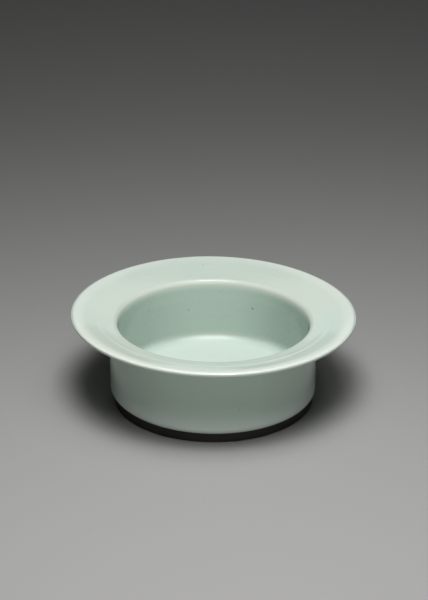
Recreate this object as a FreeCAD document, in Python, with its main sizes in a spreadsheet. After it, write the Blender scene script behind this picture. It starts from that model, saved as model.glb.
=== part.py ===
import FreeCAD, Part
import Sketcher
import math
import os

# Brush washer: a shallow porcelain basin with an upright drum wall, a wide everted rim that rises
# gently to a rounded lip, and a low turned foot ring.  It is thrown and turned on one axis, so
# every piece is a body of revolution about +Z.
#
#   porcelain_body   fired clay vessel: floor, wall, shoulder, rim flange, foot ring
#   celadon_glaze    glaze coat over the inside, the rim, the lip and the outside of the wall
#   base_glaze       glaze in the recess inside the foot ring
#   foot_dressing    dark wash on the outside of the foot ring
#
# Frame: millimetres, +Z up, origin at the centre of the standing edge of the foot ring.

doc = FreeCAD.newDocument("brush_washer")

# ---------------------------------------------------------------------------------------------
# Driving dimensions.  Radii and heights describe the glazed surface unless they say "clay".
# ---------------------------------------------------------------------------------------------
SIZES = [
    ("rim_radius", 65.0, "overall radius at the lip"),
    ("rim_top_height", 43.6, "height of the rim plane where it meets the lip face"),
    ("lip_face", 2.05, "thickness of the lip before rounding"),
    ("lip_round", 0.88, "rounding of both edges of the lip"),
    ("rim_dish_radius", 190.0, "radius of the shallow dish of the rim's upper face"),
    ("well_radius", 43.6, "radius of the well's upright wall"),
    ("rim_root_height", 39.05, "height where the rim's upper face would meet the well wall"),
    ("shoulder_round", 2.8, "rounding between the well wall and the rim"),
    ("well_floor_height", 9.5, "height of the well's flat floor"),
    ("well_floor_round", 2.6, "rounding between the well's floor and its wall"),
    ("wall_radius", 47.5, "outside radius of the drum wall"),
    ("rim_under_height", 34.9, "height where the rim's underside would meet the wall"),
    ("rim_under_round", 3.0, "hollow rounding under the rim"),
    ("base_corner_height", 7.25, "height where the wall starts to turn in"),
    ("base_corner_round", 3.3, "rounding of the wall's lower corner"),
    ("glaze_end_radius", 46.3, "radius at which the outer glaze stops, under the corner"),
    ("glaze_thick", 0.45, "thickness of the outer and inner glaze"),
    ("foot_radius", 46.0, "clay outside radius of the foot ring"),
    ("foot_inner_radius", 42.4, "clay inside radius of the foot ring"),
    ("foot_edge_round", 0.30, "rounding of the standing edge"),
    ("recess_depth", 3.8, "clay depth of the recess inside the foot ring"),
    ("recess_round", 1.4, "rounding of the recess corner"),
    ("base_glaze_thick", 0.35, "thickness of the glaze in the recess"),
    ("base_glaze_end", 1.3, "height at which the recess glaze stops on the foot ring"),
    ("dressing_thick", 0.12, "thickness of the dark foot wash"),
    ("dressing_low", 0.32, "lowest height of the foot wash"),
    ("dressing_high", 4.42, "highest height of the foot wash"),
]

sheet = doc.addObject("Spreadsheet::Sheet", "Sizes")
for row, (alias, value, note) in enumerate(SIZES, start=1):
    sheet.set("A%d" % row, alias)
    sheet.set("B%d" % row, repr(value))
    sheet.setAlias("B%d" % row, alias)
    sheet.set("C%d" % row, note)
doc.recompute()

V = {alias: value for alias, value, note in SIZES}


def cell(text):
    """An expression in which every $name is a cell of the sheet."""
    return text.replace("$", "Sizes.")


def number(text):
    """The value of such an expression, for the first drawing of a sketch."""
    return float(sheet.evalExpression(cell(text)))


def plane(body, role):
    for feature in body.Origin.OriginFeatures:
        if feature.Role == role:
            return feature
    raise RuntimeError("no plane " + role)


def outline(body, name, corners, arcs=None):
    """A closed outline on the body's XZ plane: the sketch's x is the radius, its y the height.

    corners  list of (radius expression, height expression); the outline runs through them in
             order and closes on the first.
    arcs     {index: (radius expression, side)}: the edge that leaves that corner is an arc of
             that radius, bulging to the left (+1) or to the right (-1) of its direction.
    """
    arcs = arcs or {}
    sketch = body.newObject("Sketcher::SketchObject", name)
    sketch.AttachmentSupport = [(plane(body, "XZ_Plane"), "")]
    sketch.MapMode = "FlatFace"
    pts = [FreeCAD.Vector(number(a), number(b), 0) for a, b in corners]
    count = len(pts)
    ends = []
    for i in range(count):
        p, q = pts[i], pts[(i + 1) % count]
        if i in arcs:
            radius = number(arcs[i][0])
            chord = q.sub(p)
            half = chord.Length / 2.0
            sag = radius - math.sqrt(radius * radius - half * half)
            left = FreeCAD.Vector(-chord.y, chord.x, 0)
            left.normalize()
            mid = p.add(q).multiply(0.5).add(left.multiply(sag * arcs[i][1]))
            arc = Part.Arc(p, mid, q)
            g = sketch.addGeometry(arc, False)
            first = sketch.getPoint(g, 1)
            ends.append((g, 1, 2) if first.sub(p).Length < 1e-6 else (g, 2, 1))
        else:
            g = sketch.addGeometry(Part.LineSegment(p, q), False)
            ends.append((g, 1, 2))
    for i in range(count):
        g, start, end = ends[i]
        g2, start2, end2 = ends[(i + 1) % count]
        sketch.addConstraint(Sketcher.Constraint("Coincident", g, end, g2, start2))
    for i, (a, b) in enumerate(corners):
        g, start, end = ends[i]
        if a == "0":
            sketch.addConstraint(Sketcher.Constraint("PointOnObject", g, start, -2))
        else:
            k = sketch.addConstraint(
                Sketcher.Constraint("DistanceX", -1, 1, g, start, pts[i].x)
            )
            sketch.setExpression("Constraints[%d]" % k, cell(a))
        if b == "0":
            sketch.addConstraint(Sketcher.Constraint("PointOnObject", g, start, -1))
        else:
            k = sketch.addConstraint(
                Sketcher.Constraint("DistanceY", -1, 1, g, start, pts[i].y)
            )
            sketch.setExpression("Constraints[%d]" % k, cell(b))
    for i, (radius, side) in arcs.items():
        k = sketch.addConstraint(
            Sketcher.Constraint("Radius", ends[i][0], number(radius))
        )
        sketch.setExpression("Constraints[%d]" % k, cell(radius))
    return sketch


def turn(body, name, sketch):
    """A full turn of the outline about the vertical axis."""
    feature = body.newObject("PartDesign::Revolution", name)
    feature.Profile = sketch
    feature.ReferenceAxis = (sketch, ["V_Axis"])
    feature.Angle = 360.0
    doc.recompute()
    return feature


def ring_edge(shape, radius, height):
    """The name of the circular edge of that radius and height about the axis."""
    for k, edge in enumerate(shape.Edges, start=1):
        curve = edge.Curve
        if not isinstance(curve, Part.Circle):
            continue
        if (
            abs(curve.Radius - radius) < 1e-4
            and abs(curve.Center.z - height) < 1e-4
            and math.hypot(curve.Center.x, curve.Center.y) < 1e-4
        ):
            return "Edge%d" % k
    raise RuntimeError("no ring edge at r=%.3f z=%.3f" % (radius, height))


def round_ring(body, name, corner, radius):
    """A fillet of that radius on the ring edge that this corner of the outline makes."""
    base = body.Tip
    edge = ring_edge(base.Shape, number(corner[0]), number(corner[1]))
    feature = body.newObject("PartDesign::Fillet", name)
    feature.Base = (base, [edge])
    feature.Radius = number(radius)
    feature.setExpression("Radius", cell(radius))
    doc.recompute()
    return feature


def add_body(name, label):
    body = doc.addObject("PartDesign::Body", name)
    body.Label = label
    body.Placement = FreeCAD.Placement()
    return body


# ---------------------------------------------------------------------------------------------
# porcelain_body: the clay under the glaze.  Its glazed faces are the finished surface moved in
# by the glaze thickness, so rounded inside corners grow by it and outside corners shrink by it.
# ---------------------------------------------------------------------------------------------
T = "$glaze_thick"
# height of the clay corner arc where it meets the foot ring
CLAY_CORNER_R = "($base_corner_round - $glaze_thick)"
CORNER_X = "($wall_radius - $base_corner_round)"
CLAY_FOOT_TOP = (
    "($base_corner_height - sqrt(" + CLAY_CORNER_R + "^2 - ($foot_radius - " + CORNER_X + ")^2))"
)

clay = add_body("PorcelainBody", "porcelain_body")
clay_corners = {
    "floor_axis": ("0", "$well_floor_height - " + T),
    "floor_edge": ("$well_radius + " + T, "$well_floor_height - " + T),
    "shoulder": ("$well_radius + " + T, "$rim_root_height - " + T),
    "lip_top": ("$rim_radius - " + T, "$rim_top_height - " + T),
    "lip_low": ("$rim_radius - " + T, "$rim_top_height - $lip_face + " + T),
    "rim_root": ("$wall_radius - " + T, "$rim_under_height + " + T),
    "wall_low": ("$wall_radius - " + T, "$base_corner_height"),
    "foot_top": ("$foot_radius", CLAY_FOOT_TOP),
    "foot_out": ("$foot_radius", "0"),
    "foot_in": ("$foot_inner_radius", "0"),
    "recess": ("$foot_inner_radius", "$recess_depth"),
    "recess_axis": ("0", "$recess_depth"),
}
order = list(clay_corners)
clay_sketch = outline(
    clay,
    "clay_outline",
    [clay_corners[k] for k in order],
    {
        order.index("shoulder"): ("$rim_dish_radius + " + T, -1),
        order.index("wall_low"): (CLAY_CORNER_R, -1),
    },
)
turn(clay, "clay_turned", clay_sketch)
round_ring(clay, "clay_floor_round", clay_corners["floor_edge"], "$well_floor_round + " + T)
round_ring(clay, "clay_shoulder_round", clay_corners["shoulder"], "$shoulder_round - " + T)
round_ring(clay, "clay_lip_round_top", clay_corners["lip_top"], "$lip_round - " + T)
round_ring(clay, "clay_lip_round_low", clay_corners["lip_low"], "$lip_round - " + T)
round_ring(clay, "clay_under_round", clay_corners["rim_root"], "$rim_under_round + " + T)
round_ring(clay, "foot_edge_out", clay_corners["foot_out"], "$foot_edge_round")
round_ring(clay, "foot_edge_in", clay_corners["foot_in"], "$foot_edge_round")
round_ring(clay, "recess_corner", clay_corners["recess"], "$recess_round")

# ---------------------------------------------------------------------------------------------
# celadon_glaze: the finished outer surface closed through the clay, less the clay itself.
# ---------------------------------------------------------------------------------------------
END_HEIGHT = (
    "($base_corner_height - sqrt($base_corner_round^2 - ($glaze_end_radius - "
    + CORNER_X + ")^2))"
)
# the end face points at the centre of the corner arc, and runs on into the clay
INWARD = "(($base_corner_round - 2 * $glaze_thick) / $base_corner_round)"
END_IN_R = "(" + CORNER_X + " + ($glaze_end_radius - " + CORNER_X + ") * " + INWARD + ")"
END_IN_Z = "($base_corner_height - ($base_corner_height - " + END_HEIGHT + ") * " + INWARD + ")"

coat = add_body("GlazeEnvelope", "glaze_envelope")
coat_corners = {
    "floor_axis": ("0", "$well_floor_height"),
    "floor_edge": ("$well_radius", "$well_floor_height"),
    "shoulder": ("$well_radius", "$rim_root_height"),
    "lip_top": ("$rim_radius", "$rim_top_height"),
    "lip_low": ("$rim_radius", "$rim_top_height - $lip_face"),
    "rim_root": ("$wall_radius", "$rim_under_height"),
    "wall_low": ("$wall_radius", "$base_corner_height"),
    "end_out": ("$glaze_end_radius", END_HEIGHT),
    "end_in": (END_IN_R, END_IN_Z),
    "inside_axis": ("0", END_IN_Z),
}
order = list(coat_corners)
coat_sketch = outline(
    coat,
    "coat_outline",
    [coat_corners[k] for k in order],
    {
        order.index("shoulder"): ("$rim_dish_radius", -1),
        order.index("wall_low"): ("$base_corner_round", -1),
    },
)
turn(coat, "coat_turned", coat_sketch)
round_ring(coat, "coat_floor_round", coat_corners["floor_edge"], "$well_floor_round")
round_ring(coat, "coat_shoulder_round", coat_corners["shoulder"], "$shoulder_round")
round_ring(coat, "coat_lip_round_top", coat_corners["lip_top"], "$lip_round")
round_ring(coat, "coat_lip_round_low", coat_corners["lip_low"], "$lip_round")
round_ring(coat, "coat_under_round", coat_corners["rim_root"], "$rim_under_round")

glaze = doc.addObject("Part::Cut", "CeladonGlaze")
glaze.Label = "celadon_glaze"
glaze.Base = coat
glaze.Tool = clay
glaze.Placement = FreeCAD.Placement()
doc.recompute()

# ---------------------------------------------------------------------------------------------
# base_glaze: a shallow dish of glaze in the recess and up the inner side of the foot ring.
# ---------------------------------------------------------------------------------------------
B = "$base_glaze_thick"
dish = add_body("BaseGlazeEnvelope", "base_glaze_envelope")
dish_corners = {
    "under_axis": ("0", "$recess_depth - " + B),
    "corner": ("$foot_inner_radius - " + B, "$recess_depth - " + B),
    "end_out": ("$foot_inner_radius - " + B, "$base_glaze_end"),
    "end_in": ("$foot_inner_radius + 1", "$base_glaze_end"),
    "above": ("$foot_inner_radius + 1", "$recess_depth + 1"),
    "above_axis": ("0", "$recess_depth + 1"),
}
dish_sketch = outline(dish, "dish_outline", list(dish_corners.values()))
turn(dish, "dish_turned", dish_sketch)
round_ring(dish, "dish_corner_round", dish_corners["corner"], "$recess_round - " + B)

patch = doc.addObject("Part::Cut", "BaseGlaze")
patch.Label = "base_glaze"
patch.Base = dish
patch.Tool = clay
patch.Placement = FreeCAD.Placement()
doc.recompute()

# ---------------------------------------------------------------------------------------------
# foot_dressing: a thin band of wash round the outside of the foot ring.
# ---------------------------------------------------------------------------------------------
band = add_body("FootDressing", "foot_dressing")
band_corners = [
    ("$foot_radius", "$dressing_low"),
    ("$foot_radius + $dressing_thick", "$dressing_low"),
    ("$foot_radius + $dressing_thick", "$dressing_high"),
    ("$foot_radius", "$dressing_high"),
]
band_sketch = outline(band, "band_outline", band_corners)
turn(band, "band_turned", band_sketch)

doc.recompute()

# ---------------------------------------------------------------------------------------------
# Checks, then one file per piece.
# ---------------------------------------------------------------------------------------------
problems = []
for obj in doc.Objects:
    bad = [s for s in obj.State if s in ("Invalid", "Error")]
    if bad:
        problems.append("%s is %s" % (obj.Label, ", ".join(bad)))

pieces = [clay, glaze, patch, band]
for piece in pieces:
    shape = piece.Shape
    if shape.isNull() or not shape.isValid():
        problems.append("%s has no valid shape" % piece.Label)
    elif len(shape.Solids) != 1:
        problems.append("%s has %d solids" % (piece.Label, len(shape.Solids)))
if problems:
    raise SystemExit("\n".join(problems))

os.makedirs("parts", exist_ok=True)
for piece in pieces:
    shape = piece.Shape
    box = shape.BoundBox
    shape.exportStep("parts/%s.step" % piece.Label)
    print(
        "%-16s volume %9.1f mm3   x %.2f..%.2f   z %.2f..%.2f"
        % (piece.Label, shape.Volume, box.XMin, box.XMax, box.ZMin, box.ZMax)
    )

for i, a in enumerate(pieces):
    for b in pieces[i + 1:]:
        common = a.Shape.common(b.Shape).Volume
        print("shared volume %s / %s: %.4f mm3" % (a.Label, b.Label, common))
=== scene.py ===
import math

import bpy
import numpy as np
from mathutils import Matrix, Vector


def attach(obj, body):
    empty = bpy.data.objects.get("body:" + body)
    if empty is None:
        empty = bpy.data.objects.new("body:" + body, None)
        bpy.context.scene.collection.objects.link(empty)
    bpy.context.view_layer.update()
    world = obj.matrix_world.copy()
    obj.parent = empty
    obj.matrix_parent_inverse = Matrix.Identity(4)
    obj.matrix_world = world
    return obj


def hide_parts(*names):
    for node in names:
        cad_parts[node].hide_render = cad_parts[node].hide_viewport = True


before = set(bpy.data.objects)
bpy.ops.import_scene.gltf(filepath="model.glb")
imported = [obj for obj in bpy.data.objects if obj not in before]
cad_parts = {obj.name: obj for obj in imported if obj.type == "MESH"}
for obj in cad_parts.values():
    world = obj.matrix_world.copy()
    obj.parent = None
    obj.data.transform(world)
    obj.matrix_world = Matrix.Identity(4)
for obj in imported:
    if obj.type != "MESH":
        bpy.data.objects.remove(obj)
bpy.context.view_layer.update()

MM = 0.001

# ------------------------------------------------------------------------------------------------
# Sizes of the finished, glazed surface in millimetres. They follow the CAD model's, with the lip,
# the shoulder and the well's corner eased by a few tenths.
# ------------------------------------------------------------------------------------------------
RIM_R, RIM_TOP, LIP, LIP_ROUND, LIP_UNDER = 65.0, 43.9, 2.35, 1.05, 1.00
WELL_TOP_R, WELL_LOW_R, FLARE_Z, ROOT_Z, SHOULDER = 44.25, 43.5, 30.0, 39.3, 2.9
FLOOR_Z, FLOOR_ROUND = 9.5, 2.2
WALL_TOP_R, WALL_LOW_R, UNDER_Z, UNDER_ROUND = 47.4, 47.6, 34.9, 3.0
CORNER_Z, CORNER_ROUND, END_R = 7.25, 3.3, 46.3
GLAZE = 0.45
FOOT_R, FOOT_IN_R, FOOT_EDGE = 46.0, 42.4, 0.30
RECESS, RECESS_ROUND, BASE_GLAZE, BASE_END = 3.8, 1.4, 0.35, 1.3
DISH, ROLL = 0.30, 0.45


# ------------------------------------------------------------------------------------------------
# Outlines
# ------------------------------------------------------------------------------------------------
def rounded(corners, step=2.0, arc_step=6.0):
    """A polyline through (r, z, rounding) corners, in millimetres, with round corners and no edge
    longer than step."""
    pts = [np.array(c[:2], float) for c in corners]
    out = [pts[0]]
    for i in range(1, len(pts) - 1):
        a, b, c, radius = pts[i - 1], pts[i], pts[i + 1], corners[i][2]
        if radius <= 0:
            out.append(b)
            continue
        u = (a - b) / np.linalg.norm(a - b)
        w = (c - b) / np.linalg.norm(c - b)
        angle = math.acos(float(np.clip(u @ w, -1, 1)))
        cut = radius / math.tan(angle / 2)
        p, q = b + u * cut, b + w * cut
        centre = b + (u + w) / np.linalg.norm(u + w) * radius / math.sin(angle / 2)
        t0 = math.atan2(*(p - centre)[::-1])
        t1 = math.atan2(*(q - centre)[::-1])
        turn = (t1 - t0 + math.pi) % (2 * math.pi) - math.pi
        n = max(3, math.ceil(abs(math.degrees(turn)) / arc_step))
        for k in range(n + 1):
            t = t0 + turn * k / n
            out.append(centre + radius * np.array([math.cos(t), math.sin(t)]))
    out.append(pts[-1])
    dense = [out[0]]
    for a, b in zip(out[:-1], out[1:]):
        length = float(np.linalg.norm(b - a))
        if length < 1e-6:
            continue
        n = max(1, math.ceil(length / step))
        dense += [a + (b - a) * k / n for k in range(1, n + 1)]
    return np.array(dense)


def smooth(x, lo, hi):
    t = np.clip((x - lo) / (hi - lo), 0, 1)
    return t * t * (3 - 2 * t)


def bump_at(x, centre, width):
    return np.exp(-(((x - centre) / width) ** 2))


def rim_relief(r):
    """Height change of the rim's upper face: its shallow dish, and its outer part easing over
    towards the lip."""
    mid, half = (WELL_TOP_R + RIM_R) / 2, (RIM_R - WELL_TOP_R) / 2
    z = -DISH * np.clip(1 - ((r - mid) / half) ** 2, 0, None)
    return z - ROLL * np.clip((r - 58.5) / 6.5, 0, 1) ** 2


def rim_rings(r, a):
    """The rings left on the rim by the turning tool, under the glaze. They are clearest in front,
    where the glaze is thinnest."""
    z = -0.080 * bump_at(r, 49.8, 1.3) + 0.085 * bump_at(r, 52.0, 0.65)
    z = z - 0.115 * bump_at(r, 53.9, 0.9) - 0.015 * bump_at(r, 58.6, 1.3)
    return z * (0.25 + 0.75 * smooth(-np.sin(a), 0.35, 0.98))


def lean(r, z):
    """The pot sagged a little in the kiln: how far each height is out of level, in degrees."""
    inner = 0.6 * smooth(z, 9.4, 39.0)
    outer = 0.35 * smooth(z, 0.0, 4.3) + 0.25 * np.clip((z - 4.3) / 34.7, 0, 1)
    t = np.where(r < 45.7, inner, outer)
    return t + 0.3 * np.clip((r - 47.0) / 18.0, 0, 1) * smooth(z, 28.0, 36.0)


def hand(r, z, a):
    """Moves points (r, z, angle) of the true turned form to the hand-made one."""
    rim = smooth(r, 46.0, 65.0) * smooth(z, 30.0, 38.0)
    wall = smooth(z, 4.0, 30.0) * smooth(r, 30.0, 44.0)
    dz = rim * (-0.12 * np.cos(2 * a + 0.2) + 0.05 * np.cos(3 * a - 1.1) + 0.02 * np.cos(7 * a)
                - 0.18 * np.sin(3 * a))
    dr = wall * (0.07 * np.cos(2 * a - 0.4) + 0.05 * np.cos(3 * a + 2.0) + 0.02 * np.cos(5 * a))
    collar = smooth(r, 43.0, 43.6) * (1 - smooth(r, 45.5, 52.0)) * smooth(z, 24.0, 34.0)
    dr = dr - (0.12 * rim + 0.08 * collar * (r < 46.6 + 9.0 * (z > 38.0))) * (1 + np.cos(2 * a))
    r2 = r + dr
    # the outside of the wall was turned a third of a millimetre off the well's centre
    off = (-0.34 + 0.06 * (1 - smooth(z, 8.0, 20.0))) * smooth(z, 3.9, 7.0) * (1 - smooth(z, 33.0, 38.0)) * smooth(r, 45.6, 46.6)
    off = off * (1 - smooth(r, 48.0, 54.0))
    x, y = r2 * np.cos(a) + off, r2 * np.sin(a)
    return x, y, z + dz - x * np.tan(np.radians(lean(r, z)))


# ------------------------------------------------------------------------------------------------
# Meshes
# ------------------------------------------------------------------------------------------------
def lathe(name, outline, segments, closed=False, relief=None, layers=None):
    """A watertight turned mesh. outline is (n, 2) of radius and height in millimetres; it starts and
    ends on the axis, or is a closed ring. relief(r, z, a, i) returns moved (r, z). layers maps an
    attribute name to one value for each outline point."""
    n = len(outline)
    ang = np.linspace(0, 2 * np.pi, segments, endpoint=False)
    first_pole = not closed and outline[0, 0] < 1e-9
    last_pole = not closed and outline[-1, 0] < 1e-9
    rings = range(1 if first_pole else 0, n - 1 if last_pole else n)
    co, source = [], []
    for i in rings:
        r = np.full(segments, outline[i, 0])
        z = np.full(segments, outline[i, 1])
        if relief is not None:
            r, z = relief(r, z, ang, i)
        x, y, z = hand(r, z, ang)
        co.append(np.stack([x, y, z], 1))
        source += [i] * segments
    count = len(co) * segments
    co = np.concatenate(co)
    poles = []
    for i, there in ((0, first_pole), (n - 1, last_pole)):
        if there:
            poles.append(len(co))
            co = np.vstack([co, [[0, 0, outline[i, 1]]]])
            source.append(i)
    faces = []
    rows = len(rings)
    k = np.arange(segments)
    k2 = (k + 1) % segments
    for j in range(rows if closed else rows - 1):
        a, b = j * segments, ((j + 1) % rows) * segments
        faces += np.stack([a + k, a + k2, b + k2, b + k], 1).tolist()
    if first_pole:
        faces += [[poles[0], int(b), int(a)] for a, b in zip(k, k2)]
    if last_pole:
        base = (rows - 1) * segments
        faces += [[poles[-1], int(base + a), int(base + b)] for a, b in zip(k, k2)]
    mesh = bpy.data.meshes.new(name)
    mesh.from_pydata((co * MM).tolist(), [], faces)
    mesh.validate()
    for key, values in (layers or {}).items():
        layer = mesh.attributes.new(key, "FLOAT", "POINT")
        layer.data.foreach_set("value", np.asarray(values, np.float32)[np.array(source)])
    mesh.polygons.foreach_set("use_smooth", [True] * len(mesh.polygons))
    mesh.update()
    obj = bpy.data.objects.new(name, mesh)
    bpy.context.scene.collection.objects.link(obj)
    # outward faces
    import bmesh
    bm = bmesh.new()
    bm.from_mesh(mesh)
    bmesh.ops.recalc_face_normals(bm, faces=bm.faces)
    bm.to_mesh(mesh)
    bm.free()
    return obj


def glaze_outline():
    """The coat: its skin from the well's centre to the bead under the wall's lower corner, then
    back along the clay."""
    cx = WALL_LOW_R - CORNER_ROUND
    skin = rounded([
        (0, FLOOR_Z, 0),
        (WELL_LOW_R, FLOOR_Z, FLOOR_ROUND),
        (WELL_LOW_R, FLARE_Z, 28.0),
        (WELL_TOP_R, ROOT_Z, SHOULDER),
        (RIM_R, RIM_TOP, LIP_ROUND),
        (RIM_R, RIM_TOP - LIP, LIP_UNDER),
        (WALL_TOP_R, UNDER_Z, UNDER_ROUND),
        (WALL_LOW_R, CORNER_Z, 0),
    ], 1.1, 7.0)
    top = (skin[:, 0] > WELL_TOP_R - 0.2) & (skin[:, 1] > ROOT_Z - 1.2)
    k = int(np.argmax(skin[:, 0]))
    top &= np.arange(len(skin)) < k - 2
    # finer steps on the rim, for its rings
    fine = [skin[0]]
    for i in range(1, len(skin)):
        a, b = skin[i - 1], skin[i]
        parts = 3 if top[i - 1] and top[i] and np.linalg.norm(b - a) > 0.6 else 1
        fine += [a + (b - a) * j / parts for j in range(1, parts + 1)]
    skin = np.array(fine)
    k = int(np.argmax(skin[:, 0]))
    top = (skin[:, 0] > WELL_TOP_R - 0.2) & (skin[:, 1] > ROOT_Z - 1.2) & (np.arange(len(skin)) < k - 2)
    edge = smooth(skin[:, 0], WELL_TOP_R, WELL_TOP_R + 2.5)
    skin[:, 1] += np.where(top, rim_relief(skin[:, 0]) * edge, 0)
    # lower corner and its bead
    stop = math.acos((END_R - cx) / CORNER_ROUND)
    arc = np.array([
        (cx + CORNER_ROUND * math.cos(t), CORNER_Z - CORNER_ROUND * math.sin(t))
        for t in np.linspace(0, stop, 11)[1:]
    ])
    u = np.array([math.cos(stop), -math.sin(stop)])
    along = np.array([-math.sin(stop), -math.cos(stop)])
    centre = np.array([cx, CORNER_Z]) + u * (CORNER_ROUND - GLAZE / 2)
    bead = np.array([
        centre + (GLAZE / 2) * (math.cos(t) * u + math.sin(t) * along)
        for t in np.linspace(0, math.pi, 7)[1:]
    ])
    skin = np.vstack([skin, arc, bead])
    g = GLAZE
    back = rounded([
        (FOOT_R + 0.02, CORNER_Z - math.sqrt((CORNER_ROUND - g) ** 2 - (FOOT_R - cx) ** 2), 0),
        (WALL_LOW_R - g, CORNER_Z + 0.8, 2.2),
        (WALL_TOP_R - g, UNDER_Z + g, UNDER_ROUND + g),
        (RIM_R - g, RIM_TOP - LIP + g, 0.25),
        (RIM_R - g, RIM_TOP - ROLL - g, 0.35),
        (RIM_R - 6.5, RIM_TOP - 1.2 - g, 0),
        (WELL_TOP_R + g, ROOT_Z - g, SHOULDER - g),
        (WELL_LOW_R + g, FLARE_Z, 28.0),
        (WELL_LOW_R + g, FLOOR_Z - g, FLOOR_ROUND + g),
        (0, FLOOR_Z - g, 0),
    ], 9.0, 22.0)
    rim = (back[:, 0] > WELL_TOP_R + 1.5) & (back[:, 1] > ROOT_Z - 1.5)
    mid, half = (WELL_TOP_R + RIM_R) / 2, (RIM_R - WELL_TOP_R) / 2
    back[:, 1] -= np.where(rim, DISH * np.clip(1 - ((back[:, 0] - mid) / half) ** 2, 0, None), 0)
    return np.vstack([skin, back]), len(skin)


def glaze_layers(line, skin_count):
    """Where the fired glaze ran thin, on the shoulder and the lip; the bead where it gathered at the
    lower corner, joined by painted light up the lower outside wall in place of light from the floor;
    painted shade at the edge of the well's floor; and which points are on the well's wall, its floor
    and the outside."""
    r, z = line[:, 0], line[:, 1]
    inside = smooth(r, 38.0, 41.0)
    thin = inside * smooth(z, 34.8, 38.2) * (1 - smooth(r, 44.6, 46.2))
    lip = smooth(r, 57.6, 62.2) * (1 - 0.7 * smooth(r, 63.6, 64.9)) * smooth(z, 37.0, 40.5)
    foot = np.hypot(r - END_R, z - 4.6)
    wall = smooth(z, FLOOR_Z + 1.2, FLOOR_Z + 4.5) * (1 - smooth(z, 34.0, 38.5)) * (r < 45.6)
    floor = (1 - smooth(z, FLOOR_Z + 0.3, FLOOR_Z + 2.5)) * smooth(z, 8.2, 9.0) * (r < 44.5)
    # the bead at the lower corner, and painted light: the lower outside wall is marked to be painted
    # lighter, in place of light thrown up from the floor
    bead_and_bounce_light = np.maximum(0.8 * np.exp(-((foot / 1.8) ** 2)), (r > 45.7) * (1 - smooth(z, 5.5, 15.0)))
    outer = (r > 45.7) * (1 - smooth(z, 35.5, 38.0))
    # painted shade: corner marks the edge of the well's floor next to the wall, painted darker below
    corner = smooth(r, 37.8, 42.4) * (1 - smooth(z, FLOOR_Z + 1.0, FLOOR_Z + 3.5)) * (z > 9.2) * (r < 44.5)
    return {"thin": thin, "lip": lip, "bead_and_bounce_light": bead_and_bounce_light, "wall": wall, "floor": floor, "outer": outer,
            "corner": corner}


def turning_marks(r, z, a, i):
    """Faint spiral throwing marks on the walls, a ridge round the well's floor and the rim's rings."""
    inside = smooth(z, 13.0, 17.0) * (1 - smooth(z, 34.0, 37.0))
    wall = inside * ((r < 45.5) | (r > 46.8))
    side = np.where(r < 45.5, 1.0, -1.0)
    wave = 0.020 * np.sin(z * 1.55 + a + side) + 0.012 * np.sin(z * 3.1 - 2 * a + 1.3)
    floor = (z < FLOOR_Z + 0.3) & (r < 40.6) & (z > FLOOR_Z - 0.3)
    ripple = floor * 0.010 * np.sin(r * 1.1 + a) * smooth(r, 3.0, 9.0)
    ripple = ripple + floor * (0.10 * bump_at(r, 37.6, 0.55) - 0.04 * bump_at(r, 39.4, 0.9))
    rings = rim_rings(r, a) if i < LIP_AT else 0.0
    return r + wall * wave, z + ripple + rings * smooth(r, 45.0, 47.0)


def clay_outline():
    g = GLAZE
    cx = WALL_LOW_R - CORNER_ROUND
    body = rounded([
        (0, FLOOR_Z - g, 0),
        (WELL_LOW_R + g, FLOOR_Z - g, FLOOR_ROUND + g),
        (WELL_LOW_R + g, FLARE_Z, 28.0),
        (WELL_TOP_R + g, ROOT_Z - g, SHOULDER - g),
        (RIM_R - 6.5, RIM_TOP - 1.2 - g, 0),
        (RIM_R - g, RIM_TOP - ROLL - g, 0.35),
        (RIM_R - g, RIM_TOP - LIP + g, 0.25),
        (WALL_TOP_R - g, UNDER_Z + g, UNDER_ROUND + g),
        (WALL_LOW_R - g, CORNER_Z, 0),
    ], 3.0, 12.0)
    rim = (body[:, 0] > WELL_TOP_R + 1.5) & (body[:, 1] > ROOT_Z - 1.5)
    mid, half = (WELL_TOP_R + RIM_R) / 2, (RIM_R - WELL_TOP_R) / 2
    body[:, 1] -= np.where(rim, DISH * np.clip(1 - ((body[:, 0] - mid) / half) ** 2, 0, None), 0)
    radius = CORNER_ROUND - g
    stop = math.acos((FOOT_R - cx) / radius)
    arc = np.array([
        (cx + radius * math.cos(t), CORNER_Z - radius * math.sin(t))
        for t in np.linspace(0, stop, 8)[1:]
    ])
    foot = rounded([
        (float(arc[-1, 0]), float(arc[-1, 1]), 0),
        (FOOT_R, 0, FOOT_EDGE),
        (FOOT_IN_R, 0, FOOT_EDGE),
        (FOOT_IN_R, RECESS, RECESS_ROUND),
        (0, RECESS, 0),
    ], 0.7, 15.0)
    return np.vstack([body, arc, foot[1:]])


def clay_marks(r, z, a, i):
    """Turning rings and small wear on the bare standing edge."""
    low = (z < 0.5).astype(float) * ((r > FOOT_IN_R + 0.3) & (r < FOOT_R - 0.3))
    ring = 0.012 * np.sin(r * 9.0) + 0.012 * np.sin(11 * a + r * 3)
    return r, z + low * (0.03 + ring)


def base_outline():
    b = BASE_GLAZE
    skin = rounded([
        (0, RECESS - b, 0),
        (FOOT_IN_R - b, RECESS - b, RECESS_ROUND - b),
        (FOOT_IN_R - b, BASE_END + 0.15, 0.12),
        (FOOT_IN_R - b + 0.12, BASE_END, 0.1),
        (FOOT_IN_R - 0.02, BASE_END + 0.05, 0),
    ], 1.4, 12.0)
    back = rounded([
        (FOOT_IN_R - 0.02, BASE_END + 0.4, 0),
        (FOOT_IN_R - 0.02, RECESS - 0.02, RECESS_ROUND),
        (0, RECESS - 0.02, 0),
    ], 6.0, 20.0)
    return np.vstack([skin, back])


def base_marks(r, z, a, i):
    """Low swells where the glaze dried unevenly in the recess."""
    face = (z < RECESS - 0.2) & (r < 40)
    swell = 0.035 * np.sin(r * 0.35 + 2 * a) + 0.020 * np.sin(r * 0.8 - 3 * a + 1.0)
    return r, z - face * swell * smooth(r, 2.0, 8.0)


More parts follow.
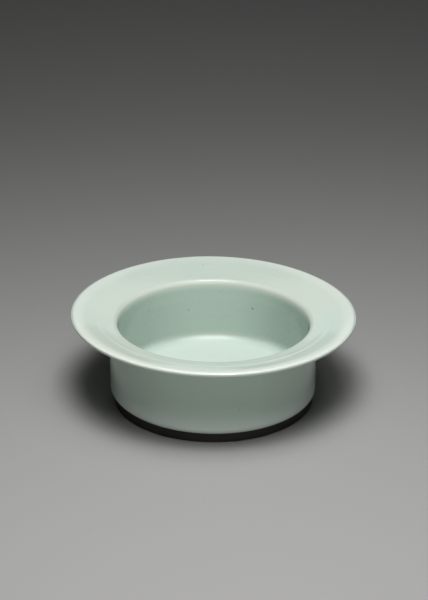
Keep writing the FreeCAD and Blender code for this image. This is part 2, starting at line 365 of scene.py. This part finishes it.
def band_outline():
    """The wash on the foot ring's outer side: a thin closed ring with soft edges."""
    t = 0.12
    return rounded([
        (FOOT_R - 0.22, 0.06, 0), (FOOT_R - 0.12, 0.03, 0.05), (FOOT_R + t, 0.26, 0.2),
        (FOOT_R + t, 4.10, 0.2), (FOOT_R + 0.05, 4.42, 0.05), (FOOT_R - 0.03, 4.44, 0),
    ], 0.35, 20.0)


def band_marks(r, z, a, i):
    """The brushed lower edge wanders, and the coat is uneven."""
    wander = 0.07 * np.sin(3 * a + 0.4) + 0.05 * np.sin(8 * a + 2.0) + 0.04 * np.sin(19 * a)
    low = 1 - smooth(z, 0.05, 0.6)
    lump = 0.012 * np.sin(23 * a + z * 2.2) + 0.010 * np.sin(41 * a - z * 3.0)
    return r + lump * (r > FOOT_R + 0.05), z + low * 0.3 * (wander + 0.16)


line, skin_count = glaze_outline()
LIP_AT = int(np.argmax(line[:, 0]))
celadon = lathe("celadon_glaze_coat", line, 344, relief=turning_marks,
                layers=glaze_layers(line, skin_count))
clay = lathe("porcelain_vessel", clay_outline(), 320, relief=clay_marks)
base = lathe("base_glaze_patch", base_outline(), 320, relief=base_marks)
band = lathe("foot_wash_band", band_outline(), 480, closed=True, relief=band_marks)


# ------------------------------------------------------------------------------------------------
# Materials
# ------------------------------------------------------------------------------------------------
class Nodes:
    """A short way to write a node tree."""

    def __init__(self, name):
        self.material = bpy.data.materials.new(name)
        self.material.use_nodes = True
        self.tree = self.material.node_tree
        self.tree.nodes.clear()
        self.out = self.new("ShaderNodeOutputMaterial")
        self.shader = self.new("ShaderNodeBsdfPrincipled")
        self.link(self.shader.outputs[0], self.out.inputs["Surface"])
        self.place = self.new("ShaderNodeTexCoord").outputs["Object"]

    def new(self, kind):
        return self.tree.nodes.new(kind)

    def link(self, a, b):
        self.tree.links.new(a, b)

    def put(self, socket, value):
        if isinstance(value, bpy.types.NodeSocket):
            self.link(value, socket)
        else:
            socket.default_value = value

    def math(self, op, a, b=0.0, c=0.0, clamp=False):
        node = self.new("ShaderNodeMath")
        node.operation, node.use_clamp = op, clamp
        for s, v in zip(node.inputs, (a, b, c)):
            self.put(s, v)
        return node.outputs[0]

    def noise(self, scale, detail=2.0, rough=0.5, vector=None, offset=(0, 0, 0), stretch=(1, 1, 1)):
        place = self.new("ShaderNodeMapping")
        place.inputs["Location"].default_value = offset
        place.inputs["Scale"].default_value = stretch
        self.link(vector or self.place, place.inputs["Vector"])
        node = self.new("ShaderNodeTexNoise")
        node.inputs["Scale"].default_value = scale
        node.inputs["Detail"].default_value = detail
        node.inputs["Roughness"].default_value = rough
        self.link(place.outputs[0], node.inputs["Vector"])
        return node.outputs[0]

    def cells(self, scale, feature="F1", offset=(0, 0, 0)):
        place = self.new("ShaderNodeMapping")
        place.inputs["Location"].default_value = offset
        self.link(self.place, place.inputs["Vector"])
        node = self.new("ShaderNodeTexVoronoi")
        node.feature = feature
        node.inputs["Scale"].default_value = scale
        self.link(place.outputs[0], node.inputs["Vector"])
        return node

    def band(self, value, lo, hi, out_lo=0.0, out_hi=1.0):
        node = self.new("ShaderNodeMapRange")
        node.interpolation_type = "SMOOTHSTEP"
        for s, v in zip(node.inputs, (value, lo, hi, out_lo, out_hi)):
            self.put(s, v)
        return node.outputs[0]

    def mix(self, factor, a, b):
        node = self.new("ShaderNodeMix")
        node.data_type = "RGBA"
        node.clamp_factor = True
        self.put(node.inputs[0], factor)
        self.put(node.inputs[6], a)
        self.put(node.inputs[7], b)
        return node.outputs[2]

    def layer(self, name):
        node = self.new("ShaderNodeAttribute")
        node.attribute_name = name
        return node.outputs["Fac"]

    def bump(self, height, strength, distance, normal=None):
        node = self.new("ShaderNodeBump")
        node.inputs["Strength"].default_value = strength
        node.inputs["Distance"].default_value = distance
        self.put(node.inputs["Height"], height)
        if normal is not None:
            self.link(normal, node.inputs["Normal"])
        return node.outputs[0]

    def spot(self, point, radius):
        """1 at a point of the surface, 0 a radius away, all in metres."""
        node = self.new("ShaderNodeVectorMath")
        node.operation = "DISTANCE"
        self.link(self.place, node.inputs[0])
        node.inputs[1].default_value = point
        return self.band(node.outputs["Value"], radius * 0.35, radius, 1.0, 0.0)


def rgb(r, g, b):
    return (r, g, b, 1.0)


CELADON = rgb(0.560, 0.655, 0.585)


SPECKS = (
    ((0.0187, 0.0393, 0.0266), 0.00090, 0.52),
    ((-0.0121, 0.0418, 0.0250), 0.00110, 0.20),
    ((-0.0309, 0.0306, 0.0296), 0.00120, 0.14),
    ((0.0114, -0.0461, 0.0166), 0.00080, 0.14),
    ((0.0110, -0.0640, 0.0434), 0.00080, 0.40),
    ((-0.0052, 0.0570, 0.0420), 0.00060, 0.25),
    ((-0.0400, -0.0250, 0.0150), 0.00070, 0.35),
    ((0.0300, 0.0366, 0.0120), 0.00060, 0.40),
    ((0.0210, -0.0120, 0.0094), 0.00050, 0.35),
)


def celadon_material():
    m = Nodes("celadon_glaze")
    thin, bead_and_bounce_light = m.layer("thin"), m.layer("bead_and_bounce_light")
    cloud = m.noise(26.0, 3.0, 0.55)
    drift = m.noise(9.0, 2.0, 0.5, offset=(3.1, 1.7, 0.4))
    grain = m.noise(900.0, 2.0, 0.6)
    colour = m.mix(m.band(drift, 0.35, 0.65), rgb(0.530, 0.638, 0.576), rgb(0.566, 0.638, 0.562))
    colour = m.mix(m.band(cloud, 0.35, 0.7, 0.0, 0.35), colour, rgb(0.470, 0.573, 0.512))
    axis = m.new("ShaderNodeSeparateXYZ")
    m.link(m.place, axis.inputs[0])
    # painted shade: right, left and side pick out the right and left parts of the well's wall, which are
    # painted darker below
    right = m.band(axis.outputs[0], 0.009, 0.041, 0.0, 1.0)
    left = m.band(axis.outputs[0], -0.044, -0.006, 0.55, 0.0)
    side = m.math("MAXIMUM", right, left)
    outer = m.layer("outer")
    colour = m.mix(m.math("MULTIPLY", outer, 0.8), colour, rgb(0.512, 0.650, 0.548))
    # painted shade: the outside wall is painted darker towards its left and right sides, which turn away
    # from the light
    flank = m.band(m.math("ABSOLUTE", axis.outputs[0]), 0.016, 0.044, 0.0, 0.9)
    colour = m.mix(m.math("MULTIPLY", outer, flank), colour, rgb(0.462, 0.585, 0.495))
    # painted light: the lower outside wall is painted lighter, in place of light thrown up from the floor;
    # the bead at the corner is lighter too
    colour = m.mix(bead_and_bounce_light, colour, rgb(0.690, 0.795, 0.718))
    # painted shade: the well's wall is painted darker and greener than the rim, and darker still on its
    # right and left, where it lies in shade
    wall = m.layer("wall")
    colour = m.mix(m.math("MULTIPLY", wall, 0.80), colour, rgb(0.405, 0.520, 0.450))
    colour = m.mix(m.math("MULTIPLY", wall, side), colour, rgb(0.310, 0.405, 0.343))
    # painted light: the well's floor is painted lighter than the rim, where the light falls into the well
    colour = m.mix(m.math("MULTIPLY", m.layer("floor"), 0.8), colour, rgb(0.620, 0.705, 0.655))
    # painted shade: the edge of the well's floor by the wall is painted darker, more so towards its left
    # and right
    corner_side_shade = m.band(m.math("ABSOLUTE", axis.outputs[0]), 0.003, 0.022, 0.0, 0.85)
    colour = m.mix(m.math("MULTIPLY", m.layer("corner"), corner_side_shade), colour, rgb(0.455, 0.560, 0.490))
    # the body shows through where the glaze is thin, on the shoulder and at the lip; the stronger
    # lightening along the front of the lip is a painted highlight
    colour = m.mix(m.math("MULTIPLY", thin, 0.60), colour, rgb(0.680, 0.710, 0.630))
    # painted highlight: front makes the lip's lightening strongest on the front, fading to the thin-glaze
    # edge at the back
    front = m.band(axis.outputs[1], -0.058, 0.010, 0.86, 0.26)
    colour = m.mix(m.math("MULTIPLY", m.layer("lip"), front), colour, rgb(0.760, 0.795, 0.725))
    colour = m.mix(m.band(grain, 0.3, 0.7, 0.0, 0.10), colour, rgb(0.620, 0.696, 0.630))
    # a few iron specks and pinholes
    for point, radius, amount in SPECKS:
        colour = m.mix(m.math("MULTIPLY", m.spot(point, radius), amount), colour,
                       rgb(0.130, 0.150, 0.110))
    m.put(m.shader.inputs["Base Color"], colour)
    m.put(m.shader.inputs["Roughness"], m.band(m.noise(140.0, 3.0), 0.3, 0.7, 0.05, 0.10))
    m.shader.inputs["IOR"].default_value = 1.55
    fine = m.bump(m.noise(700.0, 2.0, 0.5), 0.05, 0.00012)
    m.link(m.bump(m.noise(120.0, 2.0), 0.06, 0.0006, fine), m.shader.inputs["Normal"])
    return m.material


def clay_material():
    m = Nodes("bare_porcelain")
    grain = m.noise(1400.0, 3.0, 0.65)
    soil = m.noise(55.0, 4.0, 0.6, offset=(0.3, 2.0, 1.0))
    colour = m.mix(m.band(grain, 0.3, 0.7), rgb(0.62, 0.57, 0.49), rgb(0.74, 0.70, 0.62))
    colour = m.mix(m.band(soil, 0.45, 0.7, 0.0, 0.7), colour, rgb(0.42, 0.27, 0.17))
    m.put(m.shader.inputs["Base Color"], colour)
    m.shader.inputs["Roughness"].default_value = 0.78
    m.link(m.bump(grain, 0.5, 0.00012), m.shader.inputs["Normal"])
    return m.material


def base_material():
    m = Nodes("base_glaze")
    cloud = m.noise(45.0, 3.0, 0.55, offset=(1.0, 0.0, 0.0))
    grain = m.noise(900.0, 2.0, 0.6)
    colour = m.mix(m.band(cloud, 0.35, 0.68), rgb(0.50, 0.60, 0.525), rgb(0.565, 0.645, 0.560))
    colour = m.mix(m.band(grain, 0.3, 0.7, 0.0, 0.12), colour, rgb(0.66, 0.73, 0.65))
    pin = m.band(m.cells(260.0).outputs["Distance"], 0.05, 0.11, 0.8, 0.0)
    colour = m.mix(m.math("MULTIPLY", pin, m.band(cloud, 0.5, 0.6)), colour, rgb(0.16, 0.13, 0.09))
    m.put(m.shader.inputs["Base Color"], colour)
    m.put(m.shader.inputs["Roughness"], m.band(cloud, 0.3, 0.7, 0.16, 0.24))
    m.link(m.bump(m.noise(300.0, 2.0), 0.10, 0.0003), m.shader.inputs["Normal"])
    return m.material


def wash_material():
    m = Nodes("dark_foot_wash")
    brush = m.noise(90.0, 4.0, 0.6, stretch=(1, 1, 6))
    wear = m.noise(420.0, 4.0, 0.7)
    colour = m.mix(m.band(brush, 0.3, 0.7), rgb(0.008, 0.0075, 0.0065), rgb(0.020, 0.018, 0.014))
    colour = m.mix(m.band(wear, 0.66, 0.8, 0.0, 0.5), colour, rgb(0.075, 0.055, 0.038))
    m.put(m.shader.inputs["Base Color"], colour)
    m.put(m.shader.inputs["Roughness"], m.band(brush, 0.3, 0.7, 0.55, 0.75))
    m.link(m.bump(wear, 0.35, 0.0001), m.shader.inputs["Normal"])
    return m.material


def floor_material():
    m = Nodes("studio_floor")
    grain = m.noise(1100.0, 2.0, 0.6)
    colour = m.mix(m.band(grain, 0.3, 0.7), rgb(0.315, 0.315, 0.310), rgb(0.325, 0.325, 0.320))
    # painted shade: the floor is painted lighter at the front, darker further back and a little lighter
    # again at the far end, in place of the light falling off
    fade = m.new("ShaderNodeValToRGB")
    axis = m.new("ShaderNodeSeparateXYZ")
    m.link(m.place, axis.inputs[0])
    m.put(fade.inputs[0], m.band(axis.outputs[1], -0.30, 0.80))
    fade.color_ramp.interpolation = "B_SPLINE"
    stops = ((0.0, 1.06, 1.020), (0.18, 0.985, 0.975), (0.34, 0.93, 0.93), (0.55, 0.90, 0.90),
             (0.75, 0.85, 0.85), (1.0, 0.99, 0.99))
    while len(fade.color_ramp.elements) < len(stops):
        fade.color_ramp.elements.new(0.5)
    for e, (at, v, blue) in zip(fade.color_ramp.elements, stops):
        e.position, e.color = at, rgb(v, v, blue)
    shade = m.new("ShaderNodeMix")
    shade.data_type, shade.blend_type = "RGBA", "MULTIPLY"
    m.put(shade.inputs[0], 1.0)
    m.put(shade.inputs[6], colour)
    m.link(fade.outputs[0], shade.inputs[7])
    m.put(m.shader.inputs["Base Color"], shade.outputs[2])
    m.shader.inputs["Roughness"].default_value = 0.9
    m.shader.inputs["Specular IOR Level"].default_value = 0.2
    return m.material


for piece, material, node, slot in (
    (celadon, celadon_material(), "celadon_glaze", "celadon"),
    (clay, clay_material(), "porcelain_body", "clay"),
    (base, base_material(), "base_glaze", "base_celadon"),
    (band, wash_material(), "foot_dressing", "foot_wash"),
):
    piece.data.materials.append(material)
    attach(piece, "root")
    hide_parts(node)


# ------------------------------------------------------------------------------------------------
# Stage, light and camera
# ------------------------------------------------------------------------------------------------
def stage_floor():
    side, rings = 96, [0.0, 0.1, 0.2, 0.4, 0.8, 1.6, 3.2, 6.0]
    co = [(0.0, 0.0, 0.0)]
    for r in rings[1:]:
        co += [(r * math.cos(2 * math.pi * k / side), r * math.sin(2 * math.pi * k / side), 0.0)
               for k in range(side)]
    faces = [(0, 1 + k, 1 + (k + 1) % side) for k in range(side)]
    for j in range(len(rings) - 2):
        a, b = 1 + j * side, 1 + (j + 1) * side
        faces += [(a + k, b + k, b + (k + 1) % side, a + (k + 1) % side) for k in range(side)]
    mesh = bpy.data.meshes.new("studio_floor")
    mesh.from_pydata(co, [], faces)
    obj = bpy.data.objects.new("studio_floor", mesh)
    bpy.context.scene.collection.objects.link(obj)
    mesh.materials.append(floor_material())
    return obj


def backdrop_material():
    m = Nodes("studio_backdrop")
    axis = m.new("ShaderNodeSeparateXYZ")
    m.link(m.place, axis.inputs[0])
    colour = m.mix(m.band(axis.outputs[2], 0.05, 0.60), rgb(0.270, 0.270, 0.268),
                   rgb(0.120, 0.120, 0.120))
    m.shader.inputs["Base Color"].default_value = rgb(0, 0, 0)
    m.shader.inputs["Roughness"].default_value = 1.0
    m.shader.inputs["Specular IOR Level"].default_value = 0.0
    # painted light: the backdrop's grey is its own glow
    m.put(m.shader.inputs["Emission Color"], colour)
    m.shader.inputs["Emission Strength"].default_value = 1.0
    m.put(m.shader.inputs["Alpha"], m.band(axis.outputs[2], 0.0, 0.05))
    m.material.cycles.emission_sampling = "NONE"
    return m.material


def backdrop():
    """A round grey backdrop with a wide cove, seen only from low down. It glows by its own emission as
    painted light, lighter near the floor and darker higher up, and lights nothing.
    """
    side = 96
    line = [(0.82 + 0.4 * math.sin(t), 0.4005 - 0.4 * math.cos(t))
            for t in np.linspace(0, math.pi / 2, 17)] + [(1.22, 1.0), (1.22, 1.8)]
    co = [(r * math.cos(2 * math.pi * k / side), r * math.sin(2 * math.pi * k / side), z)
          for r, z in line for k in range(side)]
    faces = [(j * side + k, j * side + (k + 1) % side, (j + 1) * side + (k + 1) % side,
              (j + 1) * side + k) for j in range(len(line) - 1) for k in range(side)]
    mesh = bpy.data.meshes.new("studio_backdrop")
    mesh.from_pydata(co, [], faces)
    mesh.polygons.foreach_set("use_smooth", [True] * len(mesh.polygons))
    obj = bpy.data.objects.new("studio_backdrop", mesh)
    bpy.context.scene.collection.objects.link(obj)
    mesh.materials.append(backdrop_material())
    obj.visible_diffuse = obj.visible_glossy = obj.visible_shadow = False


def area_light(name, place, target, size, size_y, watts, colour=(1, 1, 1), spread=180.0,
               glossy=True):
    data = bpy.data.lights.new(name, "AREA")
    data.shape, data.size, data.size_y = "RECTANGLE", size, size_y
    data.energy, data.color = watts, colour
    data.spread = math.radians(spread)
    obj = bpy.data.objects.new(name, data)
    bpy.context.scene.collection.objects.link(obj)
    obj.location = place
    aim = Vector(target) - Vector(place)
    obj.rotation_mode = "QUATERNION"
    obj.rotation_quaternion = aim.to_track_quat("-Z", "Y")
    obj.visible_camera = False
    obj.visible_glossy = glossy
    return obj


stage_floor()
backdrop()
LIGHTS = [
    area_light("key_strip", (0.02, -0.30, 0.85), (0.02, -0.30, 0.0), 0.34, 0.15, 2.85),
    area_light("key_halo", (0.06, -0.30, 0.85), (0.06, -0.30, 0.0), 0.26, 0.32, 0.25),
    area_light("sheet_core", (0.0, -0.215, 0.45), (0.0, -0.215, 0.0), 0.13, 0.32, 1.40, glossy=False),
    area_light("sheet_edge", (0.04, -0.13, 0.45), (0.04, -0.13, 0.0), 0.34, 0.32, 0.75),
    area_light("low_fill", (0.28, -1.30, 0.25), (0.28, 0.0, 0.25), 0.8, 0.4, 1.85),
    area_light("back_card", (0.0, 1.0, 0.6), (0.0, 0.0, 0.3), 0.6, 0.5, 0.35),
]

world = bpy.data.worlds.new("studio")
bpy.context.scene.world = world
world.use_nodes = True
world.node_tree.nodes["Background"].inputs["Color"].default_value = (0.002, 0.002, 0.002, 1.0)
world.node_tree.nodes["Background"].inputs["Strength"].default_value = 1.0

view = bpy.context.scene.view_settings
view.view_transform, view.look, view.exposure, view.gamma = "Standard", "None", 0.0, 1.0

camera_data = bpy.data.cameras.new("camera")
camera_data.lens, camera_data.sensor_width = 108.0, 36.0
camera_data.clip_start, camera_data.clip_end = 0.01, 20.0
camera = bpy.data.objects.new("camera", camera_data)
bpy.context.scene.collection.objects.link(camera)
TARGET = Vector((0.0002, 0.0, 0.0487))
ELEVATION, DISTANCE = math.radians(24.02), 0.8196
back = Vector((0.0, -math.cos(ELEVATION), math.sin(ELEVATION)))
camera.location = TARGET + back * DISTANCE
camera.rotation_mode = "QUATERNION"
camera.rotation_quaternion = (-back).to_track_quat("-Z", "Y")
bpy.context.scene.camera = camera
